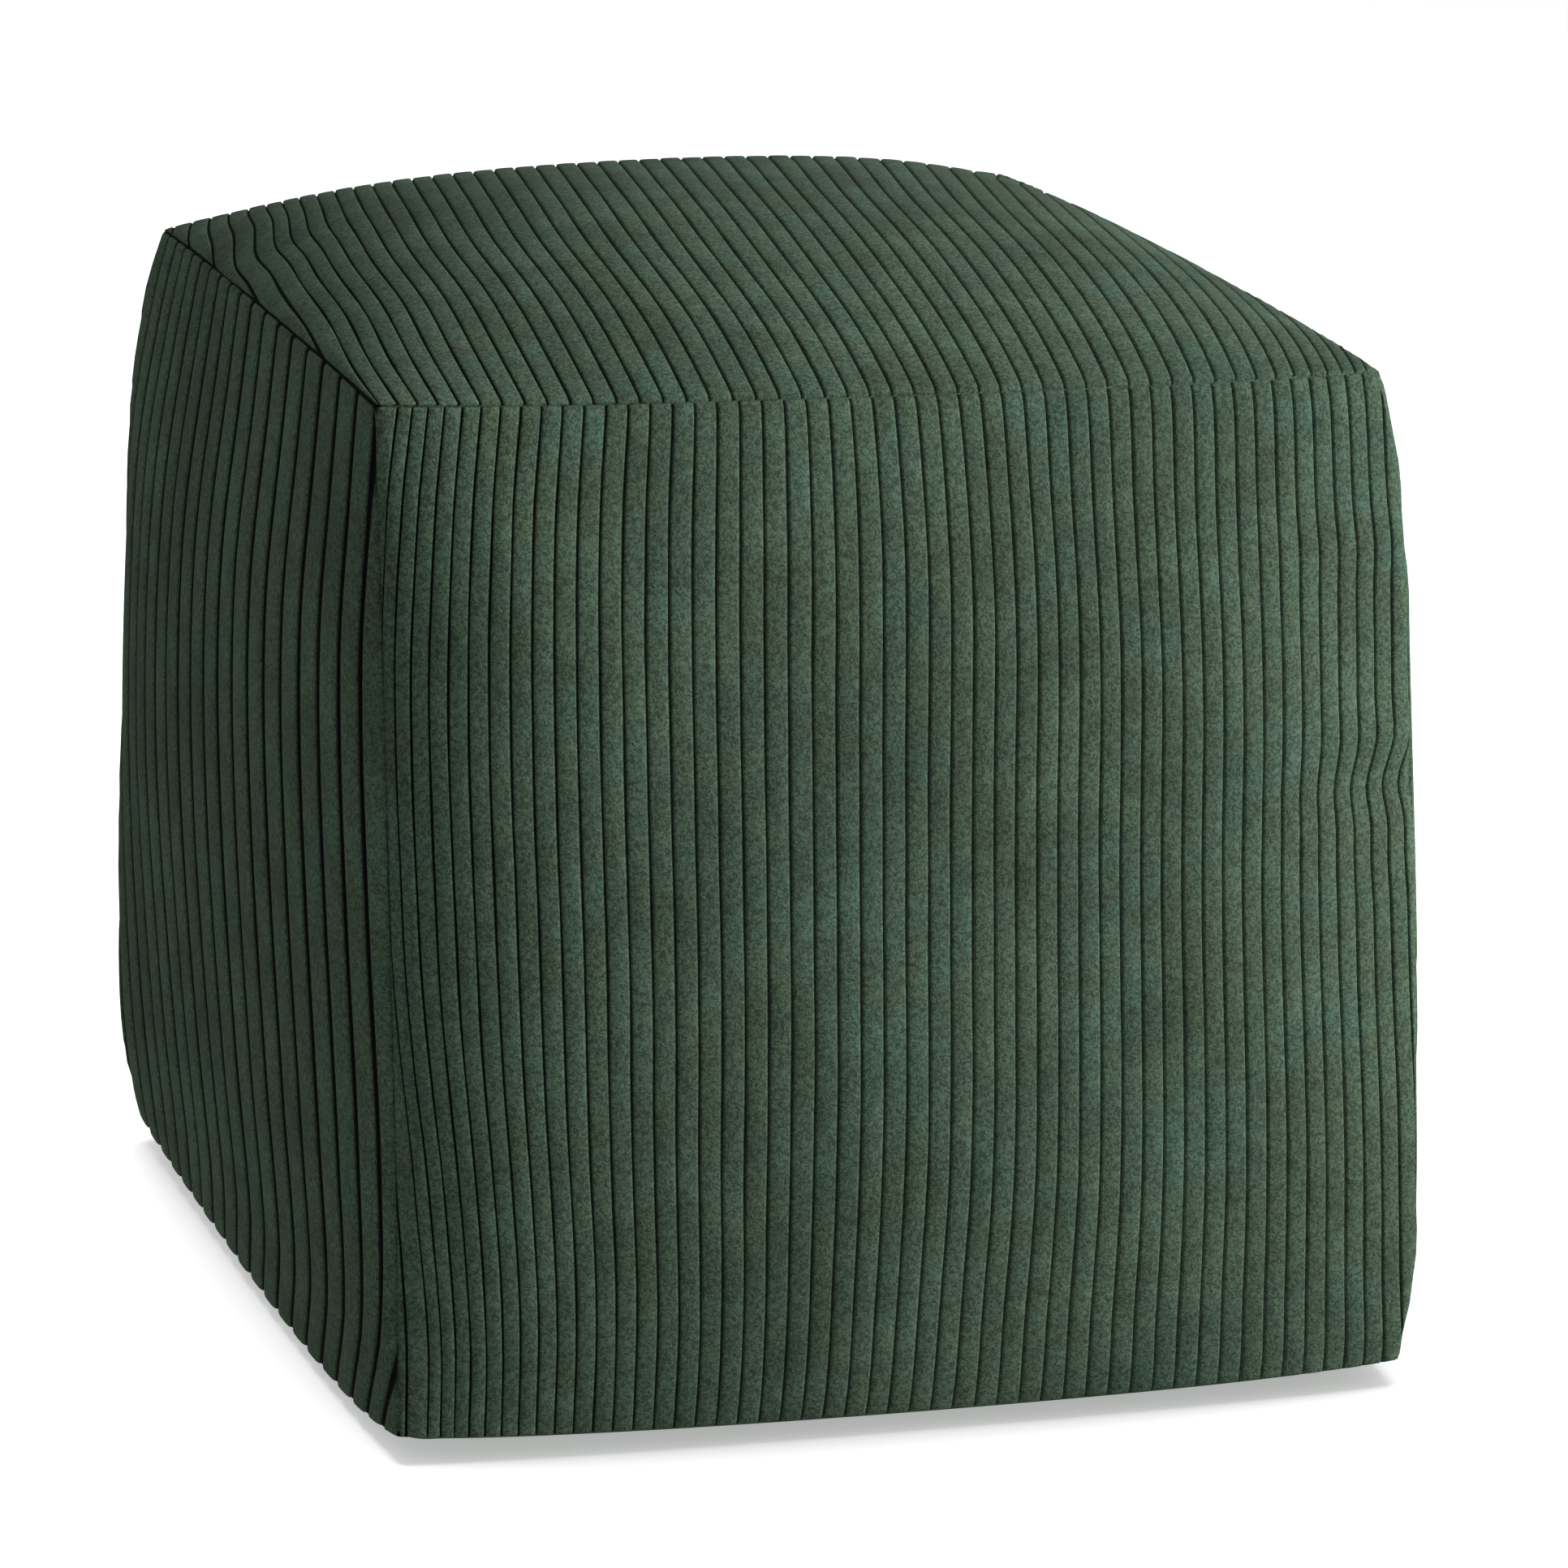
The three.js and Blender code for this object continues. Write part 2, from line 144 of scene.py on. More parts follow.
# %% [markdown]
# ## The panels
# Each panel is stretched between its four seams and then crowned by the filling. The cloth's wales
# aren't ruled lines on it: they lean, crowd together beside a seam and run out into it, as they do
# on cloth that is cut a little askew and stuffed tight. A small table of how many millimetres they
# drift, read at five places across and a few heights, says all of that. The front and back have
# narrow wales, the two sides broad ones, and the top's lean away to the right.

# %% The five corded panels
Drift = namedtuple("Drift", "up left_edge left_half middle right_half right_edge")
FRONT_DRIFT = [
    Drift(-1, 10, 0, -1, 7, 14),
    Drift(-0.8, 12, -1, -1, 2, 6),
    Drift(-0.5, 8, -2, 1, 1, 3),
    Drift(0, 0, -2, 2, 1, 1),
    Drift(0.5, -1, -1, 5, 4, 4),
    Drift(0.8, 3, 2, 8, 7, 5),
    Drift(1, 8, 7, 11, 13, 12),
]
LEFT_DRIFT = [
    Drift(-1, 14, -3, -16, -18, -20),
    Drift(-0.8, 24, 14, 8, 6, 2),
    Drift(-0.5, 20, 13, 8, 8, 7),
    Drift(0, -3, -1, 2, 4, 2),
    Drift(0.5, 4, -3, -7, -4, 2),
    Drift(0.8, 20, 2, -4, 2, 14),
    Drift(1, 18, 0, -9, 2, 24),
]
TOP_DRIFT = [
    Drift(-1, -2, -1, 0, -2, -2),
    Drift(-0.5, 8, 1, 2, 6, 22),
    Drift(0, 16, 10, 12, 20, 48),
    Drift(0.5, 28, 28, 33, 49, 80),
    Drift(0.8, 39, 44, 53, 75, 101),
    Drift(1, 48, 58, 70, 93, 117),
]


def mirrored(drift):
    return [
        Drift(up, -right_edge, -right_half, -middle, -left_half, -left_edge)
        for up, left_edge, left_half, middle, right_half, right_edge in drift
    ]


CROWN_POWER = 4
Crown = namedtuple("Crown", "rise lean full_across full_up")
Wales = namedtuple("Wales", "number first narrow_left narrow_right pile broad")
Panel = namedtuple("Panel", "name corners out crown wales drift")
PANELS = [
    Panel(
        "front", ("left front base", "right front base", "right front top", "left front top"),
        (0, -1, 0), Crown(13, 0, 0.7, 0.3), Wales(49.6, 0.1, 0.38, 0.14, 1.4, False), FRONT_DRIFT,
    ),
    Panel(
        "back", ("right back base", "left back base", "left back top", "right back top"),
        (0, 1, 0), Crown(13, 0, 0.7, 0.3), Wales(49.6, 0.5, 0.14, 0.14, 1.4, False),
        mirrored(FRONT_DRIFT),
    ),
    Panel(
        "left", ("left back base", "left front base", "left front top", "left back top"),
        (-1, 0, 0), Crown(9, 0.5, 0.3, -1), Wales(18.2, 0.3, -0.2, 0.2, 1.8, True), LEFT_DRIFT,
    ),
    Panel(
        "right", ("right front base", "right back base", "right back top", "right front top"),
        (1, 0, 0), Crown(13, 0, 0.3, -0.5), Wales(18.2, 0.5, 0.2, -0.2, 1.8, True),
        mirrored(LEFT_DRIFT),
    ),
    Panel(
        "top", ("left front top", "right front top", "right back top", "left back top"),
        (0, 0, 1), Crown(30.5, 0, 0.7, 0.3), Wales(48.1, 0.4, 0.25, 0.55, 1.4, False), TOP_DRIFT,
    ),
]
BASE_CORNERS = ("left back base", "right back base", "right front base", "left front base")
FLAT_SHARE = 0.8
BASE_STEEPNESS = 2


def between_seams(corners, u, v):
    """A patch stretched between four seams; u runs across it and v up it, from -1 to 1."""
    lower_left, lower_right, upper_right, upper_left = corners
    right = ((1 + u) / 2)[..., None]
    up = ((1 + v) / 2)[..., None]
    points = (1 - up) * seam_line(lower_left, lower_right, u)
    points = points + up * seam_line(upper_left, upper_right, u)
    points = points + (1 - right) * seam_line(lower_left, upper_left, v)
    points = points + right * seam_line(lower_right, upper_right, v)
    points = points - (1 - right) * (1 - up) * corner_point(lower_left)
    points = points - right * (1 - up) * corner_point(lower_right)
    points = points - right * up * corner_point(upper_right)
    return points - (1 - right) * up * corner_point(upper_left)


def panel_points(panel, u, v):
    crown = panel.crown
    rise = crown.rise * bulge(u, crown.full_across, CROWN_POWER) * bulge(v, crown.full_up, CROWN_POWER)
    rise = rise * (1 + crown.lean * v)
    return between_seams(panel.corners, u, v) + rise[..., None] * np.array(panel.out)


def base_points(u, v):
    """The base sags from its seam to a flat face."""
    share = np.maximum(np.maximum(abs(u), abs(v)), TINY)
    rim = between_seams(BASE_CORNERS, u / share, v / share)
    height = np.clip((share - FLAT_SHARE) / (1 - FLAT_SHARE), 0, 1) ** BASE_STEEPNESS
    return np.stack([rim[..., 0] * share, rim[..., 1] * share, rim[..., 2] * height], axis=-1)


print("Panels:", [panel.name for panel in PANELS], "and the base")

# %% [markdown]
# ## The filled case
# The photographed cushion was stuffed tight, so its cloth is stretched and bulges a little between
# its seams. Blender's Cloth with air pressure does the same. It starts from a subdivided cube that
# is moved onto the sewn shape, with its panels a little slack. The seams and the resting part of the
# base are pinned, and the pressure fills the panels. No point may move by two millimetres, so the
# size stays what the CAD says.

# %% A cube, subdivided and moved onto the sewn shape
CAGE_CUTS = 41
START_SLACK = 0.8
SIDES = {
    "front": lambda x, y, z: (x, z, y == -1),
    "back": lambda x, y, z: (-x, z, y == 1),
    "left": lambda x, y, z: (-y, z, x == -1),
    "right": lambda x, y, z: (y, z, x == 1),
    "top": lambda x, y, z: (x, y, z == 1),
    "base": lambda x, y, z: (x, -y, z == -1),
}


def deselect_all():
    for thing in bpy.context.selected_objects:
        thing.select_set(False)


deselect_all()
bpy.ops.mesh.primitive_cube_add(size=2)
cage = bpy.context.object
cage.name = "case"
bpy.ops.object.mode_set(mode="EDIT")
bpy.ops.mesh.select_all(action="SELECT")
bpy.ops.mesh.subdivide(number_cuts=CAGE_CUTS)
bpy.ops.object.mode_set(mode="OBJECT")


def read_points(mesh):
    flat = np.empty(len(mesh.vertices) * 3)
    mesh.vertices.foreach_get("co", flat)
    return flat.reshape(-1, 3)


cube = np.round(read_points(cage.data), 5)
sewn = np.zeros_like(cube)
for panel in PANELS:
    u, v, on_panel = SIDES[panel.name](*cube.T)
    started = panel._replace(crown=panel.crown._replace(rise=panel.crown.rise - START_SLACK))
    sewn[on_panel] = panel_points(started, u[on_panel], v[on_panel])
u, v, on_base = SIDES["base"](*cube.T)
sewn[on_base] = base_points(u[on_base], v[on_base])
cage.data.vertices.foreach_set("co", (sewn * MM).ravel())
cage.data.update()
print("Cage:", len(cage.data.vertices), "points")

# %% Fill it with Cloth pressure
PRESSURE = 4
FILL_FRAMES = 20
MOST_MOVE = 1.6
PINNED_SHARE = 0.9

on_seam = (abs(cube) == 1).sum(axis=1) > 1
resting = on_base & (np.maximum(abs(cube[:, 0]), abs(cube[:, 1])) < PINNED_SHARE)
pinned = cage.vertex_groups.new(name="sewn and resting")
pinned.add(np.flatnonzero(on_seam | resting).tolist(), 1, "REPLACE")

filling = cage.modifiers.new("Filling", "CLOTH")
filling.settings.quality = 5
filling.settings.mass = 0.3
filling.settings.tension_stiffness = 25
filling.settings.compression_stiffness = 25
filling.settings.shear_stiffness = 10
filling.settings.bending_stiffness = 2
filling.settings.use_pressure = True
filling.settings.uniform_pressure_force = PRESSURE
filling.settings.effector_weights.gravity = 0
filling.settings.vertex_group_mass = pinned.name

filled = sewn.copy()
for frame_number in range(1, FILL_FRAMES + 1):
    bpy.context.scene.frame_set(frame_number)
bpy.ops.object.modifier_apply(modifier=filling.name)
filled = read_points(cage.data) / MM
bpy.context.scene.frame_set(1)

move = filled - sewn
length = np.linalg.norm(move, axis=1, keepdims=True)
filled = sewn + move * np.tanh(length / MOST_MOVE) * MOST_MOVE / np.maximum(length, TINY)
print("The filling moves the cloth by up to", round(float(length.max()), 1), "mm, capped at", MOST_MOVE)

# %% [markdown]
# ## Reading the case smoothly
# The wales need far more points than the case has. A smooth curve through the case's own points
# gives the cloth's place at any u and v of a panel, so the wales follow the filled form.

# %% A smooth surface through each panel's grid
GRID = CAGE_CUTS + 1


def panel_grid(name):
    u, v, on_panel = SIDES[name](*cube.T)
    column = np.rint((u[on_panel] + 1) / 2 * GRID).astype(int)
    row = np.rint((v[on_panel] + 1) / 2 * GRID).astype(int)
    grid = np.zeros((GRID + 1, GRID + 1, 3))
    grid[row, column] = filled[on_panel]
    grid = np.concatenate([2 * grid[:1] - grid[1:2], grid, 2 * grid[-1:] - grid[-2:-1]])
    before = 2 * grid[:, :1] - grid[:, 1:2]
    after = 2 * grid[:, -1:] - grid[:, -2:-1]
    return np.concatenate([before, grid, after], axis=1)


def curve_weights(t):
    """How much each of four neighbours in a row counts for a smooth curve through them."""
    return [
        (-t + 2 * t ** 2 - t ** 3) / 2,
        (2 - 5 * t ** 2 + 3 * t ** 3) / 2,
        (t + 4 * t ** 2 - 3 * t ** 3) / 2,
        (-t ** 2 + t ** 3) / 2,
    ]


def cloth_points(grid, u, v):
    across = np.clip((u + 1) / 2, 0, 1) * GRID
    upwards = np.clip((v + 1) / 2, 0, 1) * GRID
    column = np.minimum(across.astype(int), GRID - 1)
    row = np.minimum(upwards.astype(int), GRID - 1)
    column_weights = curve_weights(across - column)
    row_weights = curve_weights(upwards - row)
    points = np.zeros(u.shape + (3,))
    for j in range(4):
        for i in range(4):
            weight = (row_weights[j] * column_weights[i])[..., None]
            points += weight * grid[row + j, column + i]
    return points


grids = {name: panel_grid(name) for name in SIDES}
middle = np.zeros(1)
for panel in PANELS:
    crowned = cloth_points(grids[panel.name], middle, middle) - panel_points(panel, middle, middle)
    proud = float(crowned[0] @ np.array(panel.out))
    print(panel.name, "middle stands", round(proud, 2), "mm proud of the CAD")

# %% [markdown]
# ## Turned seams and creases
# A filled seam isn't a sharp edge. The cloth turns over it in an arc, wide at the left front, where
# the wales of two panels seem to run on into each other. Creases break the even form at the
# front's right edge and at the top's back left corner. Each is a row of a table, with how far it
# shifts the wales sideways and how far it raises or sinks the cloth. The left front corner is the
# softest: the filling gives way there, so the front's first few wales turn into the left's shade.
# The cloth moves nearly along the photograph's line of sight, so the seam stays where it is seen.

# %% The cloth with its turned seams and creases
Crease = namedtuple("Crease", "panel across up reach_across reach_up shift rise")
CREASES = [
    Crease("front", 0.9, 0.67, 0.15, 0.06, 1.2, 0.3),
    Crease("front", 1, 0.3, 0.15, 0.05, 1.2, 0.5),
    Crease("front", 1, 0.2, 0.19, 0.06, -4.5, -1),
    Crease("front", 1, 0.07, 0.2, 0.08, -1.8, 0.3),
    Crease("top", -0.92, 0.54, 0.15, 0.13, 2, 0.7),
    Crease("top", -0.92, 0.27, 0.15, 0.13, -2, -0.7),
]


def turned_in(panel, u, v):
    """How far the cloth is drawn in where it turns over a panel's four seams."""
    lower_left, lower_right, upper_right, upper_left = panel.corners
    sides = [
        (lower_left, lower_right, u, 1 + v), (upper_left, upper_right, u, 1 - v),
        (lower_left, upper_left, v, 1 + u), (lower_right, upper_right, v, 1 - u),
    ]
    out = np.array(panel.out)
    shift = np.zeros(u.shape + (3,))
    for start, end, along, distance in sides:
        radius = turn_radius(start, end, along)
        near = np.clip(HALF * distance / radius, 0, 1)
        angle = math.pi / 4 * (1 - near)
        shift -= (radius * (1 - np.cos(angle)))[..., None] * out
        shift -= (radius * (1 - np.sin(angle) - near))[..., None] * (both_ways_out(start, end) - out)
    return shift


def crease_share(crease, u, v):
    far = ((u - crease.across) / crease.reach_across) ** 2 + ((v - crease.up) / crease.reach_up) ** 2
    return np.exp(-far)


def creased(panel, u, v):
    """The u of wale lines once the creases have shifted them."""
    for crease in CREASES:
        if crease.panel == panel.name:
            u = u + crease.shift * crease_share(crease, u, v) / HALF
    return u


SOFT_CORNER = {"left front base", "left front top"}
SOFT_DEPTH = 8
SOFT_REACH = 60
SOFT_WAY = np.array([0.3, 1, 0])


def given_way(distance, along):
    """How far the soft left front corner has given way at a distance from its seam."""
    share = np.clip(1 - distance / SOFT_REACH, 0, 1) ** 2 * (1 - along ** TURN_POWER)
    return (SOFT_DEPTH * share)[..., None] * SOFT_WAY


def case_points(panel, u, v):
    points = cloth_points(grids[panel.name], u, v) + turned_in(panel, u, v)
    if panel.name == "front":
        points = points + given_way(HALF * (1 + u), v)
    if panel.name == "left":
        points = points + given_way(HALF * (1 - u), v)
    for crease in CREASES:
        if crease.panel == panel.name:
            points = points + (crease.rise * crease_share(crease, u, v))[..., None] * np.array(panel.out)
    return points


NORMAL_STEP = 0.015


def case_normals(panel, u, v):
    across = case_points(panel, u + NORMAL_STEP, v) - case_points(panel, u - NORMAL_STEP, v)
    upwards = case_points(panel, u, v + NORMAL_STEP) - case_points(panel, u, v - NORMAL_STEP)
    normals = np.cross(across, upwards)
    return normals / np.linalg.norm(normals, axis=-1, keepdims=True)


print("Creases:", len(CREASES), "and the widest turn", max(seam.turn for seam in SEAMS), "mm")

# %% [markdown]
# ## The wales
# Corduroy's wales are flat-topped ribs of cut pile with a narrow groove between them. From a step
# away they are what one sees, so they are real geometry here, not a bump map: their grooves hold
# shadow and they notch the seams. Each wale has the same few points across it, eight on a narrow
# one and ten on a broad one. The lines wander a little, as woven cloth does on a soft filling, and
# where a wale drifts into a side seam it ends.

# %% The run of the wales
NARROW_BAND = 0.25
Station = namedtuple("Station", "across height")
NARROW_WALE = [
    Station(0, 0), Station(0.04, 0.45), Station(0.08, 0.82), Station(0.16, 0.96),
    Station(0.5, 1), Station(0.84, 0.96), Station(0.92, 0.82), Station(0.96, 0.45),
]
BROAD_WALE = [
    Station(0, 0), Station(0.05, 0.12), Station(0.1, 0.42), Station(0.16, 0.8), Station(0.26, 0.96),
    Station(0.5, 1), Station(0.74, 0.96), Station(0.84, 0.8), Station(0.9, 0.42), Station(0.95, 0.12),
]


def smooth(places, values, at):
    """A smooth line through values at places, read at a number or an array of numbers."""
    places = np.asarray(places, float)
    slopes = [
        (values[min(k + 1, len(places) - 1)] - values[max(k - 1, 0)])
        / (places[min(k + 1, len(places) - 1)] - places[max(k - 1, 0)])
        for k in range(len(places))
    ]
    result = np.zeros(np.broadcast(at, values[0]).shape)
    for k in range(len(places) - 1):
        first = k == 0
        last = k == len(places) - 2
        inside = ((at > places[k]) | first) & ((at <= places[k + 1]) | last)
        span = places[k + 1] - places[k]
        t = (at - places[k]) / span
        rise = 3 * t * t - 2 * t ** 3
        bends = slopes[k] * t * (1 - t) ** 2 - slopes[k + 1] * t * t * (1 - t)
        result = np.where(inside, values[k] * (1 - rise) + values[k + 1] * rise + span * bends, result)
    return result


def drift_at(drift, u, v):
    """How many millimetres a table of drifts moves a wale line sideways at u and v."""
    ups = [row.up for row in drift]
    columns = [
        smooth(ups, [getattr(row, column) for row in drift], v)
        for column in ("left_edge", "left_half", "middle", "right_half", "right_edge")
    ]
    return smooth([-1, -0.5, 0, 0.5, 1], columns, np.clip(u, -1, 1))


def wale_lines(panel, wale, v):
    """Where wale lines cross heights v of a panel, with no regard to its side seams."""
    wales = panel.wales

    def place(x):
        """Width up to a share x of the wales, when those near a side are narrower or wider."""
        left = np.clip(1 - x / NARROW_BAND, 0, 1) ** 3
        right = np.clip(1 - (1 - x) / NARROW_BAND, 0, 1) ** 3
        return x + (wales.narrow_left * left - wales.narrow_right * right) * NARROW_BAND / 3

    share = (place((wale + wales.first) / wales.number) - place(0.0)) / (place(1.0) - place(0.0))
    u = 2 * share - 1
    return u + drift_at(panel.drift, u, v) / HALF


print("Points across a wale:", len(NARROW_WALE), "on a narrow one and", len(BROAD_WALE), "on a broad one")

# %% Rows along the wales, closest together where they round into a seam
RIM = 0.3
NEAR_SEAM = [RIM, 0.8, 1.6, 3, 6, 10, 15]
ROW_SPACING = 11
CREASE_SPACING = 5
END_RADIUS = 1.2

# Each wave's numbers are drawn at random between the two of its range.
Wave = namedtuple("Wave", "along across phase")
WANDER = 0.2
WANDER_WAVES = 4
WANDER_RANGE = Wave(3, 0.05, 0), Wave(11, 0.3, 2 * math.pi)
WOBBLE = 0.05
WOBBLE_WAVES = 3
WOBBLE_RANGE = Wave(8, 1, 0), Wave(24, 3, 2 * math.pi)


def heights_along(panel):
    near = np.array([1 - distance / HALF for distance in NEAR_SEAM])
    reach = near[-1]
    creases = [crease for crease in CREASES if crease.panel == panel.name]
    inner = [-reach]
    while inner[-1] < reach:
        creasing = any(abs(inner[-1] - crease.up) < 2 * crease.reach_up for crease in creases)
        inner.append(inner[-1] + (CREASE_SPACING if creasing else ROW_SPACING) / HALF)
    inner = np.array(inner) * 2 * reach / (inner[-1] + reach)
    inner = inner - inner[0] - reach
    return np.concatenate([-near[:-1], inner, near[:-1][::-1]])


def rounded_end(distance):
    """The pile's height share at a distance from a seam, where each wale rounds off into it."""
    depth = np.clip(distance / END_RADIUS, 0, 1)
    return np.sqrt(np.clip(1 - (1 - depth) ** 2, 0, 1))


def wander(wale, v, seed):
    """A slow sideways wander of the wale lines, in millimetres: neighbours mostly go together."""
    shift = np.zeros(np.broadcast(wale, v).shape)
    generator = np.random.default_rng(seed)
    for _ in range(WANDER_WAVES):
        along, across, phase = generator.uniform(*WANDER_RANGE)
        shift = shift + WANDER * np.sin(along * v + across * wale + phase)
    for _ in range(WOBBLE_WAVES):
        along, across, phase = generator.uniform(*WOBBLE_RANGE)
        shift = shift + WOBBLE * np.sin(along * v + across * np.floor(wale) + phase)
    return shift


print("Rows up each panel:", {panel.name: len(heights_along(panel)) for panel in PANELS})

# %% [markdown]
# ## One closed skin
# The five corded panels are grids of points, one row for each height and one column for each
# station of each wale. A column that has run out of the panel shares the row's point on the rim, and
# the faces that this leaves without area aren't made. A strip then joins each grid to the points of
# its four seams, which two panels share, so the whole case is one closed skin.

# %% Points and faces of the skin
SEAM_STEPS = 130
SEAM_LIFT = 1.1
LIFT_POWER = 8
skin_points = []
skin_pile_and_shade = []
skin_faces = []
skin_uvs = []
skin_is_base = []


def add_points(points, pile):
    first = sum(len(block) for block in skin_points)
    skin_points.append(points.reshape(-1, 3))
    skin_pile_and_shade.append(np.broadcast_to(pile, points.shape[:-1]).ravel())
    return first + np.arange(points[..., 0].size).reshape(points.shape[:-1])


def add_face(corners, is_base=False):
    """A face from (point, uv) corners; corners at one point count once."""
    kept = [corner for k, corner in enumerate(corners) if corner[0] != corners[k - 1][0]]
    if len(kept) > 2:
        skin_faces.append([index for index, uv in kept])
        skin_uvs.extend(uv for index, uv in kept)
        skin_is_base.append(is_base)


seam_rows = {}
corner_index = {name: int(add_points(corner_point(name)[None], 0)[0]) for name in CORNERS}
seam_at = np.linspace(-1, 1, SEAM_STEPS + 1)
for seam in SEAMS:
    fill = (1 - seam.notch) * (1 - seam_at[1:-1] ** LIFT_POWER)
    lift = (SEAM_LIFT * fill / math.sqrt(2))[:, None] * both_ways_out(seam.start, seam.end)
    middle_points = seam_points(seam.start, seam.end, seam_at[1:-1]) + lift
    if {seam.start, seam.end} == SOFT_CORNER:
        middle_points = middle_points + given_way(np.zeros(SEAM_STEPS - 1), seam_at[1:-1])
    # A seam point's pile value is 1 - notch, so the material darkens the seams as it darkens the grooves,
    # partly with painted shade.
    indices = add_points(middle_points, 1 - seam.notch).tolist()
    seam_rows[seam.start, seam.end] = [corner_index[seam.start], *indices, corner_index[seam.end]]


def seam_row(start, end):
    if (start, end) in seam_rows:
        return seam_rows[start, end]
    return seam_rows[end, start][::-1]


print("Seam points:", len(SEAMS) * (SEAM_STEPS - 1) + len(CORNERS))


# %% Strips between two rows of points
def stitch(outer, inner):
    """Joins two rows of (place, index, uv), both running the same way, with triangles."""
    i = j = 0
    while i < len(outer) - 1 or j < len(inner) - 1:
        next_outer = outer[i + 1][0] if i < len(outer) - 1 else math.inf
        next_inner = inner[j + 1][0] if j < len(inner) - 1 else math.inf
        if next_outer <= next_inner:
            add_face([outer[i][1:], outer[i + 1][1:], inner[j][1:]])
            i += 1
        else:
            add_face([outer[i][1:], inner[j + 1][1:], inner[j][1:]])
            j += 1


def join_to_seams(panel, grid, corners):
    """Strips from the rim of a panel's grid to the points of its four seams."""
    def rim_side(places, side_corners):
        return [(place, *corner) for place, corner in zip(places.tolist(), side_corners)]

    lower_left, lower_right, upper_right, upper_left = panel.corners
    upwards = grid.v[:, 0]
    sides = [
        (lower_left, lower_right, rim_side(grid.u[0], corners[0])),
        (lower_right, upper_right, rim_side(upwards, [row[-1] for row in corners])),
        (upper_right, upper_left, rim_side(-grid.u[-1][::-1], corners[-1][::-1])),
        (upper_left, lower_left, rim_side(-upwards[::-1], [row[0] for row in corners][::-1])),
    ]
    for start, end, inner in sides:
        places = [place for place, index, uv in inner]
        seam_uvs = [
            np.interp(seam_at, places, [uv[axis] for place, index, uv in inner]).tolist() for axis in (0, 1)
        ]
        outer = list(zip(seam_at.tolist(), seam_row(start, end), zip(*seam_uvs)))
        stitch(outer, inner)


# %% The grid of points that a panel's wales make
REACH = 1 - RIM / HALF
WaleGrid = namedtuple("WaleGrid", "u v wale height on_left on_right")


def stations_of(panel):
    return BROAD_WALE if panel.wales.broad else NARROW_WALE


def grid_of_wales(panel, seed):
    """Each point's u, v, wale and share of the pile's height, and whether it is on a side rim."""
    places = [station.across for station in stations_of(panel)]
    heights = [station.height for station in stations_of(panel)]
    v = heights_along(panel)[:, None]
    count = math.ceil(panel.wales.number)
    wale = np.concatenate([k + np.array(places) for k in range(-count, 2 * count)])
    height = np.tile(heights, 3 * count)
    u = creased(panel, wale_lines(panel, wale[None], v) + wander(wale, v, seed) / HALF, v)
    crosses = (abs(u) < REACH).any(axis=0)
    u, wale, height = u[:, crosses], wale[crosses], height[crosses]
    rim_wale = np.array([[float(np.interp(side, row, wale)) for side in (-REACH, REACH)] for row in u])
    rim_height = np.interp(rim_wale % 1, places + [1], heights + [0])

    def with_rims(left, between, right):
        return np.concatenate([left, np.broadcast_to(between, u.shape), right], axis=1)

    columns = with_rims(np.full_like(v, -REACH), np.clip(u, -REACH, REACH), np.full_like(v, REACH))
    yes = np.ones_like(v, bool)
    return WaleGrid(
        columns,
        np.broadcast_to(v, columns.shape),
        with_rims(rim_wale[:, :1], wale, rim_wale[:, 1:]),
        with_rims(rim_height[:, :1], height, rim_height[:, 1:]),
        with_rims(yes, u <= -REACH, ~yes),
        with_rims(~yes, u >= REACH, yes),
    )


def shared_on_rims(grid, values):
    """A column that has run out of the panel takes the value of the rim's own column."""
    return np.where(grid.on_left, values[:, :1], np.where(grid.on_right, values[:, -1:], values))


# %% Lay the corded panels over the filled case
# Some wales are a little fuller than others, in a wave from wale to wale.
UNEVENNESS = 0.06
UNEVEN_STEP = 2.4
PILE_ON_SEAM = 0.5

# The cloth map counts the wales across a corded panel and tens of millimetres along it, and each
# panel has its own stretch of the map.
MAP_UNIT = 10
MAP_PANEL_STEP = 100


def add_corded_panel(panel, number):
    grid = grid_of_wales(panel, number)
    from_seam = HALF * np.minimum(1 - abs(grid.u), 1 - abs(grid.v))
    fullness = 1 + UNEVENNESS * np.sin(UNEVEN_STEP * np.floor(grid.wale) + number)
    pile = panel.wales.pile * fullness * grid.height * rounded_end(from_seam)
    points = case_points(panel, grid.u, grid.v) + pile[..., None] * case_normals(panel, grid.u, grid.v)
    # The 'pile' attribute is what the material darkens the grooves by, partly with painted shade. A broad
    # wale's groove is painted dark only near its bottom, and the value drops to half at a seam, so the seam
    # line is painted darker too.
    groove_shade_height = np.sqrt(grid.height) if panel.wales.broad else grid.height
    index = add_points(points, groove_shade_height * np.clip(PILE_ON_SEAM + from_seam, 0, 1))

    index = shared_on_rims(grid, index).tolist()
    across = (shared_on_rims(grid, grid.wale) + MAP_PANEL_STEP * number).tolist()
    along = ((grid.v + 1) * HALF / MAP_UNIT).tolist()
    corners = [list(zip(index[j], zip(across[j], along[j]))) for j in range(len(index))]
    for lower, upper in zip(corners, corners[1:]):
        for i in range(len(lower) - 1):
            add_face([lower[i], lower[i + 1], upper[i + 1], upper[i]])
    join_to_seams(panel, grid, corners)
    whole = (abs(grid.u[len(grid.u) // 2]) < REACH).sum() / len(stations_of(panel))
    return int(whole)


for number, panel in enumerate(PANELS):
    print(panel.name, "panel has", add_corded_panel(panel, number), "whole wales across its middle")

# %% [markdown]
# ## The base
# Nothing in the photograph shows the underside, so the base is one plain panel of the same colour.
# It is read from the filled case in rings that follow its seam, so that it closes the skin.

# %% Rings of the base
BASE_RINGS = [0.985, 0.96, 0.93, 0.9, 0.85, 0.8, 0.6, 0.4, 0.2]


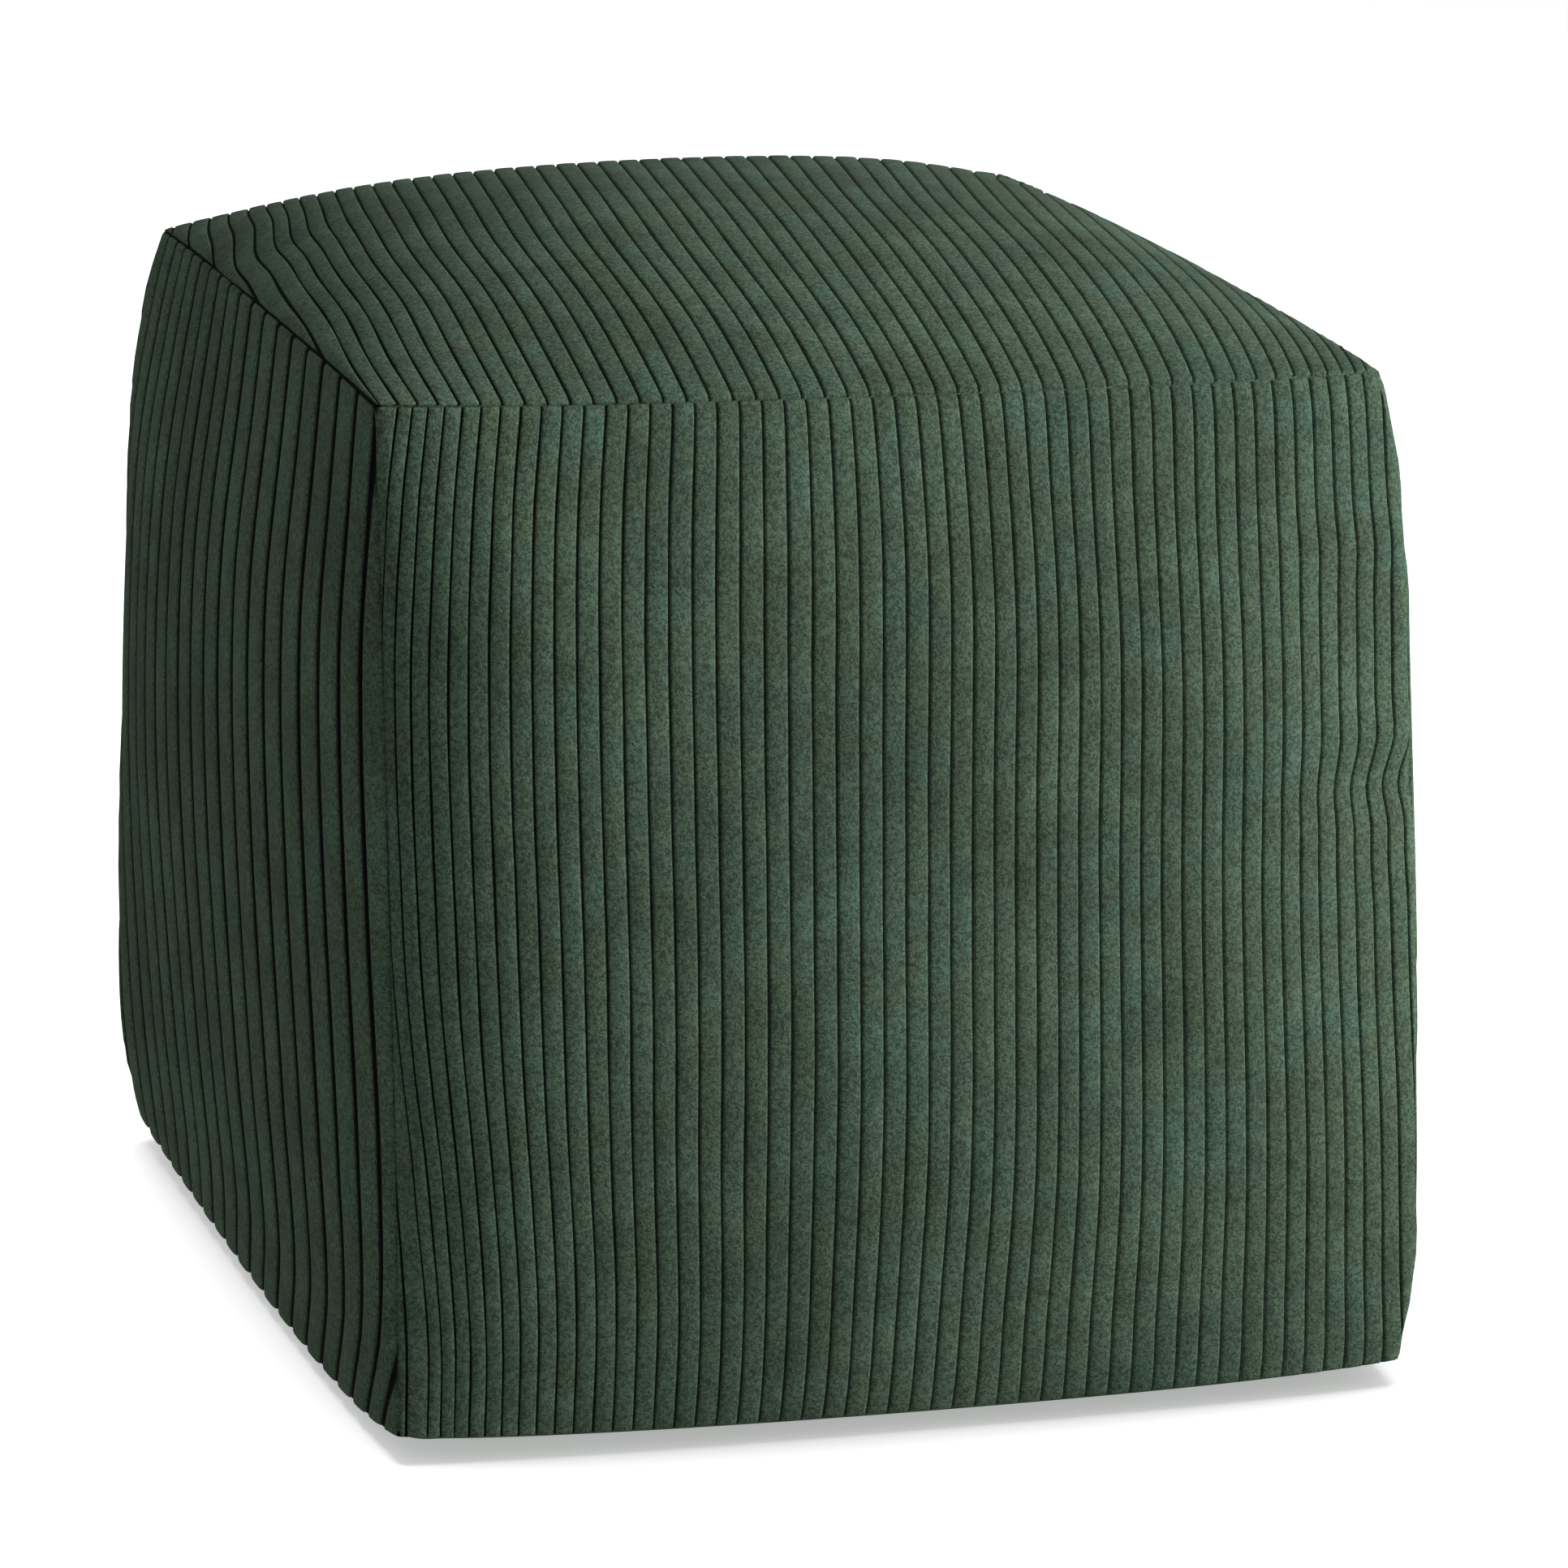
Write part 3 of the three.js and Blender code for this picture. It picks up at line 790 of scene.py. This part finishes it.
def base_seam():
    """The points of the base's seam, all the way round, and their places on the base."""
    indices = []
    places = []
    turns = [
        lambda t: (t, -np.ones_like(t)),
        lambda t: (np.ones_like(t), t),
        lambda t: (-t, np.ones_like(t)),
        lambda t: (-np.ones_like(t), -t),
    ]
    for side, turn in enumerate(turns):
        start, end = BASE_CORNERS[side], BASE_CORNERS[(side + 1) % 4]
        indices.extend(seam_row(start, end)[:-1])
        places.append(np.stack(turn(seam_at[:-1]), axis=1))
    return indices, np.concatenate(places)


def add_base_ring(places):
    points = cloth_points(grids["base"], places[:, 0], places[:, 1])
    points[:, 2] = np.maximum(points[:, 2], 0)
    return add_points(points, 1).tolist()


def map_place(place):
    return tuple(place * HALF / MAP_UNIT)


rim, rim_places = base_seam()
rings = [(rim, rim_places)]
for share in BASE_RINGS:
    rings.append((add_base_ring(rim_places * share), rim_places * share))
centre = int(add_points(np.zeros((1, 3)), 1)[0])
rings.append(([centre] * len(rim), np.zeros_like(rim_places)))
for (outer, outer_places), (inner, inner_places) in zip(rings, rings[1:]):
    for k in range(len(rim)):
        after = (k + 1) % len(rim)
        add_face([
            (outer[k], map_place(outer_places[k])),
            (outer[after], map_place(outer_places[after])),
            (inner[after], map_place(inner_places[after])),
            (inner[k], map_place(inner_places[k])),
        ], is_base=True)
print("Base:", len(BASE_RINGS), "rings of", len(rim), "points and the centre")

# %% Make the cushion's mesh from the skin
mesh = bpy.data.meshes.new("corduroy_cushion")
mesh.from_pydata((np.concatenate(skin_points) * MM).tolist(), [], skin_faces)
mesh.polygons.foreach_set("use_smooth", np.ones(len(mesh.polygons), bool))
mesh.polygons.foreach_set("material_index", np.array(skin_is_base, int))
cloth_map = mesh.uv_layers.new(name="cloth")
cloth_map.data.foreach_set("uv", np.array(skin_uvs, float).ravel())
# The 'pile' attribute is the pile's height share. The material also darkens the base colour by it, as
# painted groove shade.
pile_and_shade_attribute = mesh.attributes.new("pile", "FLOAT", "POINT")
pile_and_shade_attribute.data.foreach_set("value", np.concatenate(skin_pile_and_shade).astype(float))
mesh.update()
mesh.validate(verbose=True)

cushion = bpy.data.objects.new("corduroy_cushion", mesh)
bpy.context.scene.collection.objects.link(cushion)
bpy.data.objects.remove(cage)

edge_uses = {}
for polygon in mesh.polygons:
    for key in polygon.edge_keys:
        edge_uses[key] = edge_uses.get(key, 0) + 1
mesh.calc_loop_triangles()
print("Cushion:", len(mesh.loop_triangles), "triangles, open edges", sum(n != 2 for n in edge_uses.values()))

# %% [markdown]
# ## Corduroy
# The pile catches light on the flat of each wale and swallows it in the groove. Where a hand has
# brushed it the nap lies another way and the green turns olive or bluish, in soft patches. A node
# group makes that nap, because the plain base cloth has it too. The grooves are darkest on the
# left, as in the photograph, where the light from the right hardly reaches into them. They are
# dark again on the right panel, which the photograph doesn't show: that light falls straight into
# its grooves, and without this they would hardly be seen.
# That darkening of the grooves is painted shade in the base colour, laid over the grooves' own darker cloth.

# %% Helpers for shader nodes
def new_group(name, inputs, outputs):
    group = bpy.data.node_groups.new(name, "ShaderNodeTree")
    for socket_name, socket_type, default in inputs:
        socket = group.interface.new_socket(name=socket_name, in_out="INPUT", socket_type=socket_type)
        if default is not None:
            socket.default_value = default
    for socket_name, socket_type in outputs:
        group.interface.new_socket(name=socket_name, in_out="OUTPUT", socket_type=socket_type)
    start = group.nodes.new("NodeGroupInput")
    end = group.nodes.new("NodeGroupOutput")
    return group, start.outputs, end.inputs


def set_input(tree, socket, value):
    """Links another node's output to a socket, or sets its number or colour."""
    if isinstance(value, bpy.types.NodeSocket):
        tree.links.new(value, socket)
    else:
        socket.default_value = value


def node(tree, kind, settings=None, inputs=None):
    """A node with its settings and its inputs, each a number, a colour or another node's output."""
    made = tree.nodes.new(kind)
    for name, value in (settings or {}).items():
        setattr(made, name, value)
    for socket, value in (inputs or {}).items():
        set_input(tree, made.inputs[socket], value)
    return made


def mix_colour(tree, blend, amount, first, second):
    """Mixes two colours. On this node the amount is socket 0, and the colours are sockets 6 and 7."""
    return node(
        tree, "ShaderNodeMix", {"data_type": "RGBA", "blend_type": blend}, {0: amount, 6: first, 7: second},
    ).outputs[2]


def noise(tree, place, scale, detail, roughness):
    return node(tree, "ShaderNodeTexNoise", None, {
        "Vector": place, "Scale": scale, "Detail": detail, "Roughness": roughness,
    }).outputs["Fac"]


def spread(tree, value, low, high, out_low, out_high, kind="LINEAR"):
    """A value from low to high becomes one from out_low to out_high."""
    return node(tree, "ShaderNodeMapRange", {"interpolation_type": kind}, {
        "Value": value, "From Min": low, "From Max": high, "To Min": out_low, "To Max": out_high,
    }).outputs["Result"]


def grey(tree, value):
    return node(tree, "ShaderNodeCombineColor", None, {
        "Red": value, "Green": value, "Blue": value,
    }).outputs["Color"]


print("Blender", bpy.app.version_string)

# %% A node group for brushed nap
OWN_SCALE = (0.83, 0.22, 1)
OWN_SHARE = 0.6

nap, nap_in, nap_out = new_group(
    "brushed nap",
    inputs=[
        ("Place", "NodeSocketVector", None),
        ("Cloth", "NodeSocketVector", None),
        ("Green", "NodeSocketColor", (0.06, 0.11, 0.08, 1)),
        ("Olive", "NodeSocketColor", (0.07, 0.1, 0.06, 1)),
        ("Teal", "NodeSocketColor", (0.05, 0.12, 0.09, 1)),
        ("Fleck", "NodeSocketFloat", 0.3),
    ],
    outputs=[("Color", "NodeSocketColor"), ("Height", "NodeSocketFloat")],
)


def patches(scale, detail, roughness, low, high, out_low=0, out_high=1):
    """Soft patches: out_low where a noise is under low, and out_high where it is over high."""
    cloudy = noise(nap, nap_in["Place"], scale, detail, roughness)
    return spread(nap, cloudy, low, high, out_low, out_high, "SMOOTHSTEP")


cloth_axes = node(nap, "ShaderNodeSeparateXYZ", None, {"Vector": nap_in["Cloth"]}).outputs
each_wale = node(nap, "ShaderNodeMath", {"operation": "FLOOR"}, {0: cloth_axes["X"]}).outputs[0]
own_place = node(nap, "ShaderNodeCombineXYZ", None, {"X": each_wale, "Y": cloth_axes["Y"]}).outputs[0]
own_scaled = node(nap, "ShaderNodeVectorMath", {"operation": "MULTIPLY"}, {
    0: own_place, 1: OWN_SCALE}).outputs[0]
each_wales_own = noise(nap, own_scaled, scale=1.0, detail=2.0, roughness=0.5)
brushed = noise(nap, nap_in["Place"], scale=18.0, detail=6.0, roughness=0.65)
brushed = node(nap, "ShaderNodeMath", {"operation": "MULTIPLY_ADD"}, {
    0: each_wales_own, 1: OWN_SHARE, 2: brushed}).outputs[0]

olive = spread(nap, brushed, low=0.7, high=0.92, out_low=0, out_high=1, kind="SMOOTHSTEP")
teal = patches(scale=27.0, detail=5.0, roughness=0.6, low=0.5, high=0.66)
smudges = patches(scale=42.0, detail=6.0, roughness=0.7, low=0.35, high=0.62, out_low=0.88, out_high=1.08)
drifts = patches(scale=8.0, detail=3.0, roughness=0.6, low=0.38, high=0.6, out_low=0.9, out_high=1.08)
fibres = node(nap, "ShaderNodeTexNoise", None, {
    "Vector": nap_in["Place"], "Scale": 650.0, "Detail": 2.0, "Roughness": 0.6, "Distortion": 1.0,
}).outputs["Fac"]
flecks = spread(nap, fibres, low=0.38, high=0.62, out_low=0.48, out_high=1.52)

colour = mix_colour(nap, "MIX", olive, nap_in["Green"], nap_in["Olive"])
colour = mix_colour(nap, "MIX", teal, colour, nap_in["Teal"])
colour = mix_colour(nap, "MULTIPLY", 1.0, colour, grey(nap, smudges))
colour = mix_colour(nap, "MULTIPLY", 1.0, colour, grey(nap, drifts))
colour = mix_colour(nap, "MULTIPLY", nap_in["Fleck"], colour, grey(nap, flecks))
nap.links.new(colour, nap_out["Color"])
nap.links.new(fibres, nap_out["Height"])
print("Node group:", nap.name, "with", len(nap.nodes), "nodes")

# %% What both cloths share
TONES = {
    "Green": (0.0455, 0.0722, 0.0485, 1),
    "Olive": (0.0430, 0.0640, 0.0415, 1),
    "Teal": (0.0430, 0.0735, 0.0520, 1),
}


def object_place(tree):
    return node(tree, "ShaderNodeTexCoord").outputs["Object"]


def cloth_place(tree):
    return node(tree, "ShaderNodeUVMap", {"uv_map": "cloth"}).outputs["UV"]


def new_cloth(name, fleck):
    """A material with the nap on its base colour, its nodes, its shader and the nap's outputs."""
    material = bpy.data.materials.new(name)
    material.use_nodes = True
    tree = material.node_tree
    shader = tree.nodes["Principled BSDF"].inputs
    worn = node(tree, "ShaderNodeGroup", {"node_tree": nap}, {
        "Place": object_place(tree), "Cloth": cloth_place(tree), "Fleck": fleck, **TONES,
    }).outputs
    tree.links.new(worn["Color"], shader["Base Color"])
    return material, tree, shader, worn


def add_bump(tree, shader, height, strength, distance):
    bump = node(tree, "ShaderNodeBump", None, {
        "Height": height, "Strength": strength, "Distance": distance})
    tree.links.new(bump.outputs["Normal"], shader["Normal"])


print("Tones:", sorted(TONES))


# %% The corduroy
def make_corduroy():
    material, tree, shader, worn = new_cloth("green corduroy", fleck=0.8)
    pile = node(tree, "ShaderNodeAttribute", {"attribute_name": "pile"}).outputs["Fac"]
    # Painted shade: the base colour is darkened in the grooves according to where they stand across the bag.
    # They are darkest on the left, paler toward the front's right, and dark again on the right panel. Only
    # part of this is the grooves' own darker cloth.
    sideways = node(tree, "ShaderNodeSeparateXYZ", None, {"Vector": object_place(tree)}).outputs["X"]
    paler_rightwards = spread(tree, sideways, low=-0.22, high=0.2, out_low=0.02, out_high=0.95)
    dark_on_right_panel = spread(tree, sideways, low=0.19, high=0.225, out_low=1, out_high=0.25)
    darkest_groove_shade = node(tree, "ShaderNodeMath", {"operation": "MULTIPLY"}, {
        0: paler_rightwards, 1: dark_on_right_panel}).outputs[0]
    groove_bottom = spread(tree, sideways, low=-0.24, high=0.15, out_low=0.5, out_high=0)
    groove_shade = spread(tree, pile, low=groove_bottom, high=0.9, out_low=darkest_groove_shade, out_high=1, kind="SMOOTHSTEP")
    colour = mix_colour(tree, "MULTIPLY", 1.0, worn["Color"], grey(tree, groove_shade))
    tree.links.new(colour, shader["Base Color"])
    roughness = spread(tree, worn["Height"], low=0.35, high=0.65, out_low=0.8, out_high=1)
    tree.links.new(roughness, shader["Roughness"])
    add_bump(tree, shader, worn["Height"], strength=0.6, distance=0.0008)
    shader["Specular IOR Level"].default_value = 0.05
    return material


mesh.materials.append(make_corduroy())
print("Material:", mesh.materials[0].name)


# %% The plain base cloth
def make_base_cloth():
    material, tree, shader, worn = new_cloth("base cloth", fleck=0.7)
    threads = node(tree, "ShaderNodeTexWave", {"bands_direction": "DIAGONAL"}, {
        "Vector": cloth_place(tree), "Scale": 4.0, "Distortion": 0.5})
    add_bump(tree, shader, threads.outputs["Fac"], strength=0.4, distance=0.0004)
    shader["Roughness"].default_value = 0.95
    shader["Specular IOR Level"].default_value = 0.15
    return material


mesh.materials.append(make_base_cloth())
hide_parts("bean_bag")
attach(cushion, "root")
print("Materials:", [material.name for material in mesh.materials])

# %% [markdown]
# ## Floor and light
# A product shot on white: a pale floor that runs out of sight, a soft key light high on the right
# of the camera, a weaker low fill below it, and an even light from the world. The floor throws no
# light back at the bag. With that bounce the left panel would be nearly as light as the front, and
# in the photograph it is in shade. The photograph has no cast shadow, only a thin dark line where
# the bag meets the floor. So light linking keeps the key and the low fill off the floor, and a wide
# light from overhead shines on the floor alone.

# %% The pale floor
FLOOR_SIZE = 60
FLOOR_GLOW = 0.38

deselect_all()
bpy.ops.mesh.primitive_plane_add(size=FLOOR_SIZE)
floor = bpy.context.object
floor.name = "floor"
pale = bpy.data.materials.new("pale floor")
pale.use_nodes = True
pale_shader = pale.node_tree.nodes["Principled BSDF"].inputs
pale_shader["Base Color"].default_value = (0.9, 0.9, 0.9, 1)
pale_shader["Roughness"].default_value = 1
pale_shader["Emission Color"].default_value = (1, 1, 1, 1)
pale_shader["Emission Strength"].default_value = FLOOR_GLOW
floor.data.materials.append(pale)
floor.visible_diffuse = False
floor.visible_glossy = False
print("Floor:", FLOOR_SIZE, "m across")

# %% Lights
WORLD_STRENGTH = 0.54
AIM = Vector((0, 0, 0.2))
Light = namedtuple("Light", "name place size watts on_floor")
LIGHTS = [
    Light("key", (2.2, -1.2, 1.75), 1.5, 121, "EXCLUDE"),
    Light("low fill", (2.2, -1.1, 0.35), 1.2, 47, "EXCLUDE"),
    Light("overhead", (0, 0, 2.6), 2.2, 90, "INCLUDE"),
]
for light in LIGHTS:
    lamp = bpy.data.lights.new(light.name, "AREA")
    lamp.shape = "DISK"
    lamp.size = light.size
    lamp.energy = light.watts
    holder = bpy.data.objects.new(light.name, lamp)
    holder.location = light.place
    holder.rotation_euler = (AIM - Vector(light.place)).to_track_quat("-Z", "Y").to_euler()
    bpy.context.scene.collection.objects.link(holder)
    receivers = bpy.data.collections.new(light.name + " receivers")
    receivers.objects.link(floor)
    receivers.collection_objects[0].light_linking.link_state = light.on_floor
    holder.light_linking.receiver_collection = receivers

world = bpy.data.worlds.new("studio")
world.use_nodes = True
background = world.node_tree.nodes["Background"].inputs
background["Color"].default_value = (1, 1, 1, 1)
background["Strength"].default_value = WORLD_STRENGTH
bpy.context.scene.world = world
bpy.context.scene.view_settings.view_transform = "Standard"
print("Lights:", [light.name for light in LIGHTS])

# %% [markdown]
# ## Camera
# The photograph was taken with a long lens from the front left, a little above the bag. Its angle
# was found from the seven corners that show and from the outline: turn, tilt and roll give the
# view's axes, and the cube's middle lands on a known pixel at a known depth.

# %% The camera at the photograph's angle
IMAGE = 1932
FOCAL_PIXELS = 7973
TURN = math.radians(-18.23)
TILT = math.radians(15.62)
ROLL = math.radians(1.28)
MIDDLE_PIXEL = (905.2, 946.6)
DEPTH = 2.7953

towards = Vector((math.sin(TURN) * math.cos(TILT), -math.cos(TURN) * math.cos(TILT), math.sin(TILT)))
forward = -towards
level = forward.cross(Vector((0, 0, 1))).normalized()
upright = level.cross(forward)
right = math.cos(ROLL) * level + math.sin(ROLL) * upright
up = -math.sin(ROLL) * level + math.cos(ROLL) * upright
across = (MIDDLE_PIXEL[0] - IMAGE / 2) / FOCAL_PIXELS * DEPTH
over = -(MIDDLE_PIXEL[1] - IMAGE / 2) / FOCAL_PIXELS * DEPTH

lens = bpy.data.cameras.new("camera")
lens.sensor_width = 36
lens.lens = FOCAL_PIXELS * lens.sensor_width / IMAGE
camera = bpy.data.objects.new("camera", lens)
camera.matrix_world = Matrix.Translation(
    Vector(CUBE_MIDDLE * MM) - across * right - over * up - DEPTH * forward
) @ Matrix((right, up, -forward)).transposed().to_4x4()
bpy.context.scene.collection.objects.link(camera)
bpy.context.scene.camera = camera
print("Camera lens", round(lens.lens, 1), "mm, at", [round(value, 3) for value in camera.location])
